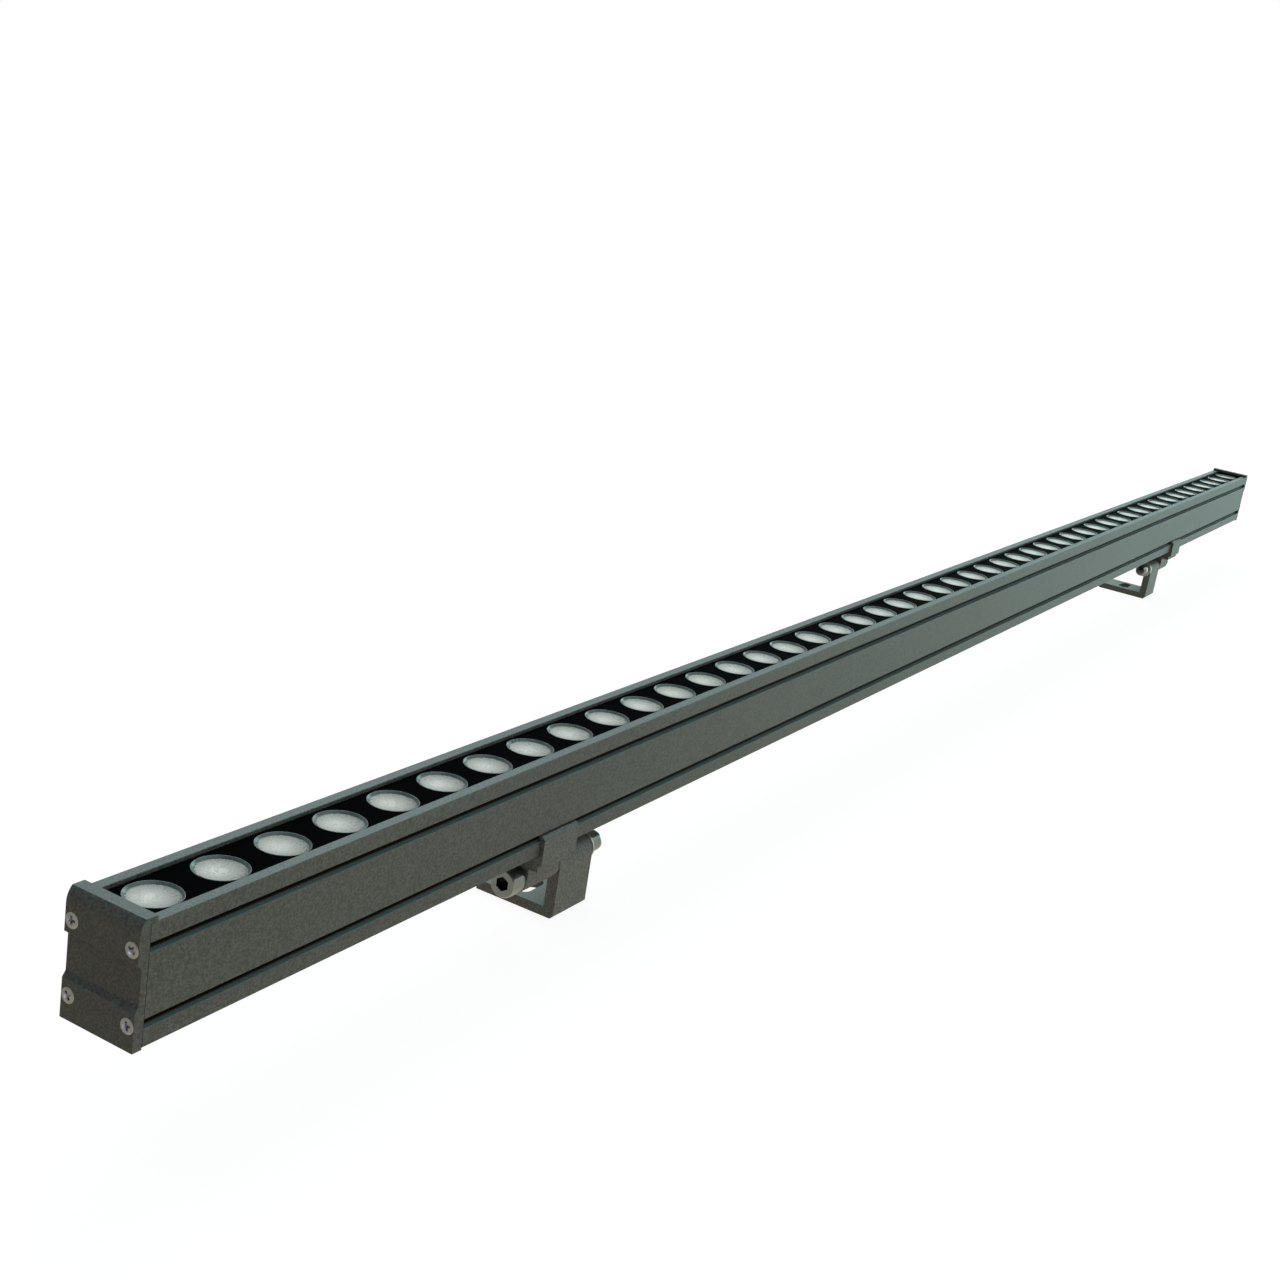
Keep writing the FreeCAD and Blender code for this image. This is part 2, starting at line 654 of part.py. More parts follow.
def makeCapScrews(side, sign):
    """Four countersunk cross-head screws, drawn lying along X."""
    body = newBody(side + "_cap_screws", x="%g * (%s)" % (sign, barEnd))
    for index, (y, drop) in enumerate(portPlaces()):
        face = "(%s + Sizes.capScrewHeadProud)" % screwFace(drop)
        profile = newSketch(body, "%sScrew%d" % (side, index), "XZ_Plane", "-(%s)" % y)
        out = "%g * " % sign
        headDepth = "(Sizes.capScrewHead - Sizes.capScrewRadius + Sizes.capScrewEdge)"
        corners = [(face, "0"), (face, "Sizes.capScrewHead - Sizes.capScrewEdge"),
                   ("%s - Sizes.capScrewEdge" % face, "Sizes.capScrewHead"),
                   ("%s - %s" % (face, headDepth), "Sizes.capScrewRadius"),
                   ("%s - Sizes.capScrewLength" % face, "Sizes.capScrewRadius"),
                   ("%s - Sizes.capScrewLength" % face, "0")]
        points = [(out + "(%s)" % x, "-%s + (%s)" % (drop, radius)) for x, radius in corners]
        addOutline(profile, points if sign > 0 else points[::-1])
        axisLine = Part.LineSegment(Vector(0, number("-" + drop), 0), Vector(1, number("-" + drop), 0))
        axis = profile.addGeometry(axisLine, True)
        holdPoint(profile, axis, 1, "0", "-" + drop)
        holdPoint(profile, axis, 2, "1", "-" + drop)
        revolve(body, profile, "Axis0")
        cross = newSketch(body, "%sCross%d" % (side, index), "YZ_Plane", out + face)
        arm = "Sizes.crossWidth / 2"
        tip = "Sizes.crossLength / 2"
        quarter = [(arm, "-" + tip), (arm, "-" + arm), (tip, "-" + arm), (tip, arm), (arm, arm),
                   (arm, tip), ("-" + arm, tip), ("-" + arm, arm), ("-" + tip, arm),
                   ("-" + tip, "-" + arm), ("-" + arm, "-" + arm), ("-" + arm, "-" + tip)]
        addOutline(cross, [("%s + %s" % (y, dy), "-%s + %s" % (drop, dz)) for dy, dz in quarter])
        pocket(body, cross, "Sizes.crossDepth", reversed=sign < 0)


# ---- cable gland -----------------------------------------------------------

def turnAboutX(name, corners, x, z, y="-Sizes.slotReach", turn=0):
    """Body turned about its own X axis from (along, radius) corners."""
    body = newBody(name, x=x, y=y, z=z, turn=turn)
    profile = newSketch(body, name + "Profile", "XZ_Plane")
    addOutline(profile, corners)
    revolve(body, profile, "H_Axis")
    return body


def makeGland():
    x = barEnd
    z = "%s - %s" % (barTop, glandDrop)
    flangeEnd = "Sizes.glandBossFace + Sizes.glandFlange"
    sleeveEnd = flangeEnd + " + Sizes.glandSleeve"
    seat = sleeveEnd + " - Sizes.sealLength"
    body = turnAboutX("gland_body", [
        ("-Sizes.glandThreadReach", "Sizes.glandBore"), (seat, "Sizes.glandBore"),
        (seat, "Sizes.sealOuter + Sizes.sealGap"), (sleeveEnd, "Sizes.sealOuter + Sizes.sealGap"),
        (sleeveEnd, "Sizes.glandThread"), ("-Sizes.glandThreadReach", "Sizes.glandThread")], x, z)
    flange = newSketch(body, "glandFlange", "YZ_Plane", "Sizes.glandBossFace")
    addHexagon(flange, "Sizes.glandHex")
    addCircle(flange, "0", "0", "Sizes.glandThread - Sizes.glandFlangeBite")
    pad(body, flange, "Sizes.glandFlange")

    turnAboutX("gland_seal", [
        (seat, "Sizes.sealInner"), (sleeveEnd, "Sizes.sealInner"),
        (sleeveEnd, "Sizes.sealOuter"), (seat, "Sizes.sealOuter")], x, z)

    start = flangeEnd + " + Sizes.glandNutGap"
    nutEnd = start + " + Sizes.glandNutLength"
    nutHexEnd = start + " + Sizes.glandNutHexLength"
    inside = "Sizes.glandThread + Sizes.glandThreadGap"
    hexRound = "Sizes.glandHex / 2"
    step = sleeveEnd + " + Sizes.glandSealRoom"
    nut = turnAboutX("gland_nut", [
        (start, inside), (step, inside), (step, "Sizes.glandNutMouth"),
        (nutEnd, "Sizes.glandNutMouth"), (nutEnd, "Sizes.glandNutNose"),
        (nutHexEnd, hexRound), (start, hexRound)], x, z)
    wrench = newSketch(nut, "glandNutHex", "YZ_Plane", start)
    addHexagon(wrench, "Sizes.glandHex")
    addCircle(wrench, "0", "0", inside)
    pad(nut, wrench, "Sizes.glandNutHexLength")

    locknut = newBody("gland_locknut", x=x, z=z)
    outline = newSketch(locknut, "locknutOutline", "YZ_Plane", "Sizes.gasketThickness")
    addHexagon(outline, "Sizes.locknutHex")
    addCircle(outline, "0", "0", inside)
    pad(locknut, outline, "Sizes.locknutThickness", reversed=True)


# ---- driver ----------------------------------------------------------------

def makeBlock(name, x, bottomDrop, length, width, height, count=1, step="0"):
    """Rectangular piece, or a row of them, standing on a level of the chamber."""
    body = newBody(name, x=x)
    outline = newSketch(body, name + "Outline", "XY_Plane", "-" + bottomDrop)
    addRectangle(outline, "0", "0", length, width)
    block = pad(body, outline, height)
    if count > 1:
        repeatAlongX(body, [block], "%s * %d" % (step, count - 1), str(count))


def makeDriver():
    """Tray, board and components, placed from the wire feed along the chamber."""
    centre = feedX + " + Sizes.driverShift"
    makeBlock("driver_tray", centre, chamberFloor, "Sizes.trayLength", trayWidth,
              "Sizes.trayThickness")
    boardBottom = "(%s - Sizes.trayThickness)" % chamberFloor
    makeBlock("driver_board", centre, boardBottom, "Sizes.driverLength",
              trayWidth + " - 2 * Sizes.driverSideInset", "Sizes.driverThickness")
    terminal = ("Sizes.terminalLength", "Sizes.terminalWidth", "Sizes.terminalHeight")
    makeBlock("input_terminal", feedX + " + Sizes.inputTerminalShift", driverTop, *terminal)
    makeBlock("output_terminal", feedX, driverTop, *terminal)
    makeBlock("driver_transformer", feedX + " + Sizes.transformerShift", driverTop,
              "Sizes.transformerLength", "Sizes.transformerWidth",
              headroom + " - Sizes.transformerHeadroom")
    makeBlock("driver_transistors", feedX + " + Sizes.transistorShift", driverTop,
              "Sizes.transistorLength", "Sizes.transistorWidth",
              headroom + " - Sizes.transistorHeadroom", 2, "Sizes.transistorStep")
    body = newBody("driver_capacitors", x=feedX + " + Sizes.capacitorShift")
    outline = newSketch(body, "capacitorOutline", "XY_Plane", "-" + driverTop)
    addCircle(outline, "0", "0", "Sizes.capacitorRadius")
    can = pad(body, outline, headroom + " - Sizes.capacitorHeadroom")
    repeatAlongX(body, [can], "2 * Sizes.capacitorStep", "3")


def makeFeed():
    """Grommet in the trough floor and the two supply wires through it."""
    grommet = newBody("wire_grommet", x=feedX)
    profile = newSketch(grommet, "grommetProfile", "XZ_Plane")
    bore = "Sizes.feedHole"
    lip = "Sizes.grommetRadius + Sizes.grommetLip"
    under = "-(%s + Sizes.grommetLipHeight)" % chamberTop
    addOutline(profile, [(bore, under), (lip, under), (lip, "-" + chamberTop),
                         ("Sizes.grommetRadius", "-" + chamberTop),
                         ("Sizes.grommetRadius", "-" + floorTop), (bore, "-" + floorTop)])
    revolve(grommet, profile, "V_Axis")
    wires = newBody("feed_wires", x=feedX)
    terminalTop = "(%s - Sizes.terminalHeight)" % driverTop
    outline = newSketch(wires, "wireOutline", "XY_Plane", "-" + terminalTop)
    for sign in ("-", ""):
        addCircle(outline, "0", sign + "Sizes.wireSpread", "Sizes.wireRadius")
    pad(wires, outline, "%s - (%s - Sizes.wireTop)" % (terminalTop, boardTop))


# ---- clamps ----------------------------------------------------------------

def makeClamp(side, sign):
    """Extruded clamp: two hooks in the lower grooves, a web under the bar and a
    round knuckle for the pivot bolt, cut back a little where the bolt head sits."""
    body = newBody(side + "_clamp", x="%g * %s" % (sign, clampX))
    section = newSketch(body, side + "ClampSection", "YZ_Plane")
    inner = halfWidth + " + Sizes.clampGap"
    outer = inner + " + Sizes.clampWall"
    tip = halfWidth + " - Sizes.grooveDepth + Sizes.clampGap"
    ledge = "-(%s + Sizes.grooveHeight - Sizes.clampHookGap)" % lowerGrooveDrop
    hookTop = ledge + " + Sizes.clampHookHeight"
    webTop = "-(Sizes.barHeight + Sizes.clampGap)"
    webSide = "-(Sizes.barHeight + Sizes.clampWebTop)"
    webBottom = "-(Sizes.barHeight + Sizes.clampWebBottom)"
    right = [(inner, webTop), (inner, ledge), (tip, ledge), (tip, hookTop), (inner, hookTop),
             (outer, hookTop + " - Sizes.clampHookSlope"), (outer, webSide), (inner, webSide),
             (inner, webBottom)]
    left = [("-(%s)" % y, z) for y, z in reversed(right)]
    knuckleLeft = "-Sizes.axisOffset - " + knuckleRadius
    knuckleRight = "-Sizes.axisOffset + " + knuckleRadius
    axis = "-" + axisDrop
    addOutline(section, right + [(knuckleRight, webBottom), (knuckleRight, axis),
                                 (knuckleLeft, axis), (knuckleLeft, webBottom)] + left)
    pad(body, section, "Sizes.clampLength", symmetric=True)
    lobe = newSketch(body, side + "KnuckleLobe", "YZ_Plane")
    addCircle(lobe, "-Sizes.axisOffset", axis, knuckleRadius)
    pad(body, lobe, "Sizes.clampLength", symmetric=True)
    inset = newSketch(body, side + "KnuckleInset", "YZ_Plane",
                      "%g * Sizes.clampLength / 2" % sign)
    depth = "(Sizes.axisBelowBar - Sizes.clampWebBottom + %s + Sizes.seatOvershoot)" % knuckleRadius
    addRectangle(inset, "-Sizes.axisOffset", "%s - %s / 2" % (webBottom, depth),
                 "2 * (%s + Sizes.seatOvershoot)" % knuckleRadius, depth)
    pocket(body, inset, "Sizes.knuckleInset", reversed=sign < 0)
    bore = newSketch(body, side + "ClampBore", "YZ_Plane")
    addCircle(bore, "-Sizes.axisOffset", axis, "Sizes.boltRadius + Sizes.boltBoreGap")
    pocket(body, bore)
    tapped = newSketch(body, side + "LockHole", "XY_Plane", webBottom)
    addCircle(tapped, "0", "Sizes.lockScrewOffset", "Sizes.lockScrewHole")
    pocket(body, tapped, "Sizes.clampWebBottom", reversed=True)


def makeLockScrew(side, sign):
    """Grub screw that locks a clamp on the bar, standing up through its web."""
    top = "%s - Sizes.barHeight - Sizes.lockScrewTipGap" % barTop
    body = newBody(side + "_lock_screw", x="%g * %s" % (sign, clampX),
                   y="Sizes.lockScrewOffset - Sizes.slotReach",
                   z=top + " - Sizes.lockScrewLength")
    outline = newSketch(body, side + "LockOutline", "XY_Plane")
    addCircle(outline, "0", "0", "Sizes.lockScrewRadius")
    pad(body, outline, "Sizes.lockScrewLength")
    socket = newSketch(body, side + "LockSocket", "XY_Plane")
    addHexagon(socket, "Sizes.lockScrewSocket")
    pocket(body, socket, "Sizes.lockScrewSocket", reversed=True)


# ---- feet ------------------------------------------------------------------

def makeFoot(side, sign):
    """L-shaped foot with a round barrel for the pivot and one fixing slot."""
    body = newBody(side + "_foot", x="%g * %s" % (sign, footX), z="Sizes.axisHeight")
    axisY = "-Sizes.axisOffset"
    armOuter = axisY + " - " + barrelRadius
    armInner = armOuter + " + Sizes.armThickness"
    low = "-Sizes.axisHeight"
    baseTop = low + " + Sizes.baseThickness"
    section = newSketch(body, side + "FootSection", "YZ_Plane")
    addOutline(section, [
        (armOuter, "0"), (armOuter, low + " + Sizes.footChamfer"),
        (armOuter + " + Sizes.footChamfer", low), ("Sizes.baseReach", low),
        ("Sizes.baseReach", baseTop), (armInner, baseTop), (armInner, "0")])
    pad(body, section, "Sizes.footWidth", symmetric=True)
    barrel = newSketch(body, side + "Barrel", "YZ_Plane")
    addCircle(barrel, axisY, "0", barrelRadius)
    pad(body, barrel, "Sizes.footWidth", symmetric=True)
    bore = newSketch(body, side + "FootBore", "YZ_Plane")
    addCircle(bore, axisY, "0", "Sizes.boltRadius + Sizes.boltBoreGap")
    pocket(body, bore)
    straight = "(Sizes.slotLength - Sizes.slotWidth)"
    slot = newSketch(body, side + "Slot", "XY_Plane", low)
    addRectangle(slot, "0", "Sizes.slotReach", straight, "Sizes.slotWidth")
    pocket(body, slot, "Sizes.baseThickness", reversed=True)
    ends = newSketch(body, side + "SlotEnds", "XY_Plane", low)
    for end in ("-", ""):
        addCircle(ends, "%s%s / 2" % (end, straight), "Sizes.slotReach", "Sizes.slotWidth / 2")
    pocket(body, ends, "Sizes.baseThickness", reversed=True)


# ---- pivot hardware --------------------------------------------------------

def makeRing(name, sign, station, outer, inner, thickness):
    """Flat washer about the pivot axis, its outboard face at the station."""
    turnAboutX(name, [("0", inner), (thickness, inner), (thickness, outer), ("0", outer)],
               "%g * (%s)" % (sign, station), "Sizes.axisHeight",
               y="-Sizes.slotReach - Sizes.axisOffset", turn=0 if sign < 0 else 180)


def makePivot(side, sign):
    """Socket-head bolt, washers and domed nut.  Everything is drawn for the near
    bracket, running from the head inwards along +X, and turned for the far one."""
    turn = 0 if sign < 0 else 180
    y = "-Sizes.slotReach - Sizes.axisOffset"
    z = "Sizes.axisHeight"
    reach = "(%s - (%s) + Sizes.boltThreadLeft)" % (boltSeat, nutSeat)
    head = "Sizes.boltHeadHeight"
    bolt = turnAboutX(side + "_bolt", [
        ("-" + head, "0"), (reach, "0"), (reach, "Sizes.boltRadius"), ("0", "Sizes.boltRadius"),
        ("0", headRadius), ("-%s + Sizes.boltHeadBevel" % head, headRadius),
        ("-" + head, headRadius + " - Sizes.boltHeadBevel")],
        "%g * (%s)" % (sign, boltSeat), z, y, turn)
    socket = newSketch(bolt, side + "BoltSocket", "YZ_Plane", "-" + head)
    addHexagon(socket, "Sizes.boltSocket")
    pocket(bolt, socket, "Sizes.boltSocketDepth", reversed=True)

    clear = "Sizes.boltRadius + Sizes.boltBoreGap"
    makeRing(side + "_head_washer", sign, boltSeat, washerRadius, clear,
             "Sizes.washerThickness")
    makeRing(side + "_friction_washer", sign, clampInner + " - Sizes.frictionGap",
             barrelRadius, clear, "Sizes.frictionThickness")
    makeRing(side + "_nut_washer", sign, nutSeat + " + Sizes.washerThickness",
             washerRadius, clear, "Sizes.washerThickness")

    thread = "Sizes.boltRadius + Sizes.nutThreadGap"
    threadEnd = "Sizes.boltThreadLeft + Sizes.nutThreadRoom"
    turnAboutX(side + "_dome_nut", [
        ("0", thread), (threadEnd, thread), (threadEnd, "0"),
        ("Sizes.nutBarrel + " + nutRadius, "0", nutRadius),
        ("Sizes.nutBarrel", nutRadius), ("0", nutRadius)],
        "%g * (%s)" % (sign, nutSeat), z, y, turn)


# ---- build -----------------------------------------------------------------

makeHousing()
makePotting()
makeBoardScrews()
makeBoardLinks()
for board in range(boardCount):
    rank = board + 1
    makeLenses("lenses_%d" % rank, board)
    makeLeds("leds_%d" % rank, board)
    makeBoard("led_board_%d" % rank, board, "(%s + Sizes.boardThickness)" % boardTop,
              "Sizes.boardThickness")
    makeBoard("thermal_pad_%d" % rank, board, floorTop, "Sizes.padThickness")
makeGland()
makeDriver()
makeFeed()
for side, sign in sideNames.items():
    makeCap(side, sign)
    makeGasket(side, sign)
    makeCapScrews(side, sign)
    makeClamp(side, sign)
    makeLockScrew(side, sign)
    makeFoot(side, sign)
    makePivot(side, sign)
document.recompute()

for item in document.Objects:
    if "Invalid" in item.State or "Error" in item.State:
        raise RuntimeError("%s did not rebuild: %s" % (item.Name, item.State))
bodies = [item for item in document.Objects if item.TypeId == "PartDesign::Body"]
for body in bodies:
    if body.Shape.isNull() or not body.Shape.isValid() or not body.Shape.Solids:
        raise RuntimeError(body.Label + " has no valid solid")

os.makedirs("parts", exist_ok=True)
for body in bodies:
    body.Shape.exportStep("parts/%s.step" % body.Label)
    box = body.Shape.BoundBox
    print("%-22s solids %2d  volume %10.1f  x %8.2f %8.2f  y %7.2f %7.2f  z %6.2f %6.2f" % (
        body.Label, len(body.Shape.Solids), body.Shape.Volume,
        box.XMin, box.XMax, box.YMin, box.YMax, box.ZMin, box.ZMax))
print(len(bodies), "nodes")
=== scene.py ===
import math

import bmesh
import bpy
from mathutils import Matrix, Vector


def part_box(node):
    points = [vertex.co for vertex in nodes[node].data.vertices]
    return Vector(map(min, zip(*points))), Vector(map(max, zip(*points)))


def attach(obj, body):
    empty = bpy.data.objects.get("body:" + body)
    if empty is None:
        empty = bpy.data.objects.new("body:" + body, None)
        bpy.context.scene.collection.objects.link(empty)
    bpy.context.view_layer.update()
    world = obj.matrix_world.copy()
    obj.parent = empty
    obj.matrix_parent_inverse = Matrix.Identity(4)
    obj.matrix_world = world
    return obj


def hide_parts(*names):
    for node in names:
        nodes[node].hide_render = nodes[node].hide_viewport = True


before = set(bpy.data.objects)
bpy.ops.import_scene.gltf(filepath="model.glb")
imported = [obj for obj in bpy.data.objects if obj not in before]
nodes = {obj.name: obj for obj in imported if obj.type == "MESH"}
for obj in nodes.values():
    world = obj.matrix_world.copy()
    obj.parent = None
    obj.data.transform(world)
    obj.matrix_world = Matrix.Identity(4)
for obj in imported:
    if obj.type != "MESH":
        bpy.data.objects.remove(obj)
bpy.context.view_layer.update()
scene = bpy.context.scene
millimetre = 0.001
endSides = {"near": -1, "far": 1}


# node helpers

def addNode(tree, kind, settings=None, **inputs):
    # an input name with spaces is written with underscores
    node = tree.nodes.new("ShaderNode" + kind)
    for name, value in (settings or {}).items():
        setattr(node, name, value)
    fillInputs(tree, node, inputs)
    return node


def fillInputs(tree, node, inputs):
    for name, value in inputs.items():
        socket = node.inputs[name.replace("_", " ")]
        if isinstance(value, bpy.types.NodeSocket):
            tree.links.new(value, socket)
        else:
            socket.default_value = value


def addMath(tree, operation, first, second=0.0):
    node = tree.nodes.new("ShaderNodeMath")
    node.operation = operation
    for socket, value in zip(node.inputs, (first, second)):
        if isinstance(value, bpy.types.NodeSocket):
            tree.links.new(value, socket)
        else:
            socket.default_value = value
    return node.outputs[0]


def addMix(tree, mask, first, second):
    node = tree.nodes.new("ShaderNodeMix")
    node.data_type = "RGBA"
    for index, value in ((0, mask), (6, first), (7, second)):
        if isinstance(value, bpy.types.NodeSocket):
            tree.links.new(value, node.inputs[index])
        else:
            node.inputs[index].default_value = value
    return node.outputs[2]


def addGroup(tree, group, **inputs):
    node = tree.nodes.new("ShaderNodeGroup")
    node.node_tree = group
    fillInputs(tree, node, inputs)
    return node


def newGroup(name, inputs, outputs):
    # inputs are name: (socket kind, start value), outputs are name: socket kind
    group = bpy.data.node_groups.new(name, "ShaderNodeTree")
    for label, (kind, value) in inputs.items():
        socket = group.interface.new_socket(label, in_out="INPUT", socket_type="NodeSocket" + kind)
        if kind != "Vector":
            socket.default_value = value
    for label, kind in outputs.items():
        group.interface.new_socket(label, in_out="OUTPUT", socket_type="NodeSocket" + kind)
    return group, group.nodes.new("NodeGroupInput").outputs, group.nodes.new("NodeGroupOutput")


def noise(tree, vector, scale, detail=2.0, roughness=0.5):
    return addNode(tree, "TexNoise", Vector=vector, Scale=scale, Detail=detail,
                   Roughness=roughness).outputs[0]


def remap(tree, value, low, high, toLow=0.0, toHigh=1.0):
    return addNode(tree, "MapRange", Value=value, From_Min=low, From_Max=high, To_Min=toLow,
                   To_Max=toHigh).outputs[0]


# effects that several finishes share

def makeCoatGrain():
    # baked powder coat: a pebbled skin with lighter flecks and slow drifts of tone
    group, given, out = newGroup("coatGrain", {
        "Vector": ("Vector", None), "Colour": ("Color", (0.1, 0.1, 0.1, 1)),
        "Fleck": ("Color", (0.2, 0.2, 0.2, 1)), "Pebbles": ("Float", 1800.0),
        "Fleck share": ("Float", 0.5), "Relief": ("Float", 0.3), "Gloss loss": ("Float", 0.5),
    }, {"Colour": "Color", "Roughness": "Float", "Normal": "Vector"})
    pebbles = noise(group, given["Vector"], given["Pebbles"], 3.0, 0.65)
    clumps = noise(group, given["Vector"], addMath(group, "MULTIPLY", given["Pebbles"], 0.45), 2.0)
    drift = noise(group, given["Vector"], 9.0, 3.0)
    speckle = addMath(group, "ADD", addMath(group, "MULTIPLY", pebbles, 0.55),
                      addMath(group, "MULTIPLY", clumps, 0.45))
    mask = addMath(group, "MULTIPLY", remap(group, speckle, 0.41, 0.59), given["Fleck share"])
    mask = addMath(group, "ADD", mask, remap(group, drift, 0.3, 0.7, -0.08, 0.08))
    group.links.new(addMix(group, mask, given["Colour"], given["Fleck"]), out.inputs["Colour"])
    rough = addMath(group, "ADD", given["Gloss loss"], remap(group, speckle, 0.3, 0.7, -0.07, 0.07))
    group.links.new(rough, out.inputs["Roughness"])
    bump = addNode(group, "Bump", Strength=given["Relief"], Distance=0.00012, Height=speckle)
    group.links.new(bump.outputs[0], out.inputs["Normal"])
    return group


def makeHandling():
    # faint smears and fine hairlines left by hands and assembly
    group, given, out = newGroup("handling", {
        "Vector": ("Vector", None), "Smears": ("Float", 60.0), "Hairlines": ("Float", 900.0),
        "Base": ("Float", 0.3), "Spread": ("Float", 0.1), "Relief": ("Float", 0.05),
    }, {"Roughness": "Float", "Mask": "Float", "Normal": "Vector"})
    smear = remap(group, noise(group, given["Vector"], given["Smears"], 4.0, 0.6), 0.35, 0.65)
    stretched = addNode(group, "Mapping", Vector=given["Vector"], Scale=(0.06, 1.0, 1.0))
    lines = noise(group, stretched.outputs[0], given["Hairlines"], 2.0, 0.7)
    mask = addMath(group, "ADD", addMath(group, "MULTIPLY", smear, 0.6),
                   addMath(group, "MULTIPLY", lines, 0.4))
    offset = addMath(group, "MULTIPLY", addMath(group, "SUBTRACT", mask, 0.5), given["Spread"])
    group.links.new(addMath(group, "ADD", given["Base"], offset), out.inputs["Roughness"])
    group.links.new(mask, out.inputs["Mask"])
    bump = addNode(group, "Bump", Strength=given["Relief"], Distance=0.00005, Height=lines)
    group.links.new(bump.outputs[0], out.inputs["Normal"])
    return group


coatGrain = makeCoatGrain()
handling = makeHandling()


def newMaterial(name, **shaderInputs):
    material = bpy.data.materials.new(name)
    material.use_nodes = True
    tree = material.node_tree
    shader = tree.nodes["Principled BSDF"]
    fillInputs(tree, shader, shaderInputs)
    where = tree.nodes.new("ShaderNodeTexCoord").outputs["Object"]
    return material, tree, shader, where


def rgb(red, green, blue):
    return (red, green, blue, 1.0)


def inside(tree, value, low, high, soft):
    # 1 between low and high, falling to 0 over the soft distance outside them
    rising = remap(tree, value, low - soft, low)
    return addMath(tree, "MULTIPLY", rising, remap(tree, value, high + soft, high))


# finishes

groovePaintedLightChoice = {
    "floors": (10.7 * millimetre, 37.95 * millimetre),   # lower ledges, below the bar's rim
    "depth": 1.4 * millimetre,       # painted shade is fully dark from here inwards
    "mouth": 0.15 * millimetre,      # still plain coat down to here
    "paintedLitFootFade": 1.3 * millimetre,        # painted light on the foot of the back wall
    "margin": 4 * millimetre,        # no groove this close to the bar's rim and foot
    # painted light colour for the ledges, then painted shade colour for the back walls
    "paintedLitLedgeColour": rgb(0.11, 0.15, 0.155),
    "paintedShadeBackColour": rgb(0.002, 0.002, 0.002),
}


def groovePaintedShadeAndLight(tree, where):
    # painted shade darkens the back of the side grooves, and painted light brightens their ledges
    # and the foot of their back walls
    choice = groovePaintedLightChoice
    low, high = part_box("housing")
    at = addNode(tree, "SeparateXYZ", Vector=where).outputs
    middle = (low.y + high.y) / 2
    across = addMath(tree, "ABSOLUTE", addMath(tree, "SUBTRACT", at["Y"], middle))
    half = (high.y - low.y) / 2
    depth = remap(tree, across, half - choice["mouth"], half - choice["depth"])
    facing = addNode(tree, "SeparateXYZ",
                     Vector=tree.nodes.new("ShaderNodeTexCoord").outputs["Normal"]).outputs
    upward = remap(tree, facing["Z"], 0.3, 0.9)
    within = inside(tree, at["Z"], low.z + choice["margin"], high.z - choice["margin"],
                    millimetre)
    foot = 0.0
    for drop in choice["floors"]:
        floor = high.z - drop
        foot = addMath(tree, "ADD", foot,
                       inside(tree, at["Z"], floor - 0.2 * millimetre, floor, choice["paintedLitFootFade"]))
    walls = addMath(tree, "MULTIPLY", within, remap(tree, upward, 0.0, 1.0, 1.0, 0.3))
    walls = addMath(tree, "MULTIPLY", walls, remap(tree, foot, 0.0, 1.0, 1.0, 0.1))
    # painted light: the ledge mask, pale on upward faces and at the back wall's foot
    paintedLitLedge = addMath(tree, "MULTIPLY", within,
                    remap(tree, across, half - 0.05 * millimetre, half - 0.2 * millimetre))
    pale = addMath(tree, "MAXIMUM", upward, remap(tree, foot, 0.0, 1.0, 0.0, 0.8))
    return addMath(tree, "MULTIPLY", depth, walls), addMath(tree, "MULTIPLY", paintedLitLedge, pale)


def coatFinish(name, choice):
    material, tree, shader, where = newMaterial(name, IOR=1.5)
    grain = addGroup(tree, coatGrain, Vector=where, Colour=choice["colour"], Fleck=choice["fleck"],
                     Pebbles=choice["pebbles"], Fleck_share=choice["fleckShare"],
                     Relief=choice["relief"], Gloss_loss=choice["roughness"])
    colour = grain.outputs["Colour"]
    if choice.get("paintedGrooveShade"):
        shade, paintedLitLedge = groovePaintedShadeAndLight(tree, where)
        # painted light on the groove ledges, then painted shade at the groove backs, with less
        # shine there
        colour = addMix(tree, paintedLitLedge, colour, groovePaintedLightChoice["paintedLitLedgeColour"])
        colour = addMix(tree, shade, colour, groovePaintedLightChoice["paintedShadeBackColour"])
        fillInputs(tree, shader, {"Specular_IOR_Level": remap(tree, shade, 0.0, 1.0, 0.5, 0.02)})
    fillInputs(tree, shader, {"Base_Color": colour, "Roughness": grain.outputs["Roughness"],
                              "Normal": grain.outputs["Normal"]})
    return material


socketShadeChoice = {
    "radius": 3.7 * millimetre,      # just outside the hexagon's corners
    "softness": 0.1 * millimetre,
    # painted shade colour inside the socket
    "colour": rgb(0.09, 0.09, 0.095),
}


def socketShade(tree, where):
    # painted shade inside the pivot bolts' sockets
    radius = socketShadeChoice["radius"]
    low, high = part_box("near_bolt")
    at = addNode(tree, "SeparateXYZ", Vector=where).outputs
    across = addMath(tree, "SUBTRACT", at["Y"], (low.y + high.y) / 2)
    above = addMath(tree, "SUBTRACT", at["Z"], (low.z + high.z) / 2)
    reach = addMath(tree, "SQRT", addMath(tree, "ADD", addMath(tree, "MULTIPLY", across, across),
                                          addMath(tree, "MULTIPLY", above, above)))
    depth = addMath(tree, "SUBTRACT", abs(low.x), addMath(tree, "ABSOLUTE", at["X"]))
    return addMath(tree, "MULTIPLY", remap(tree, reach, radius, radius - socketShadeChoice["softness"]),
                   remap(tree, depth, 0.2 * millimetre, 0.7 * millimetre))


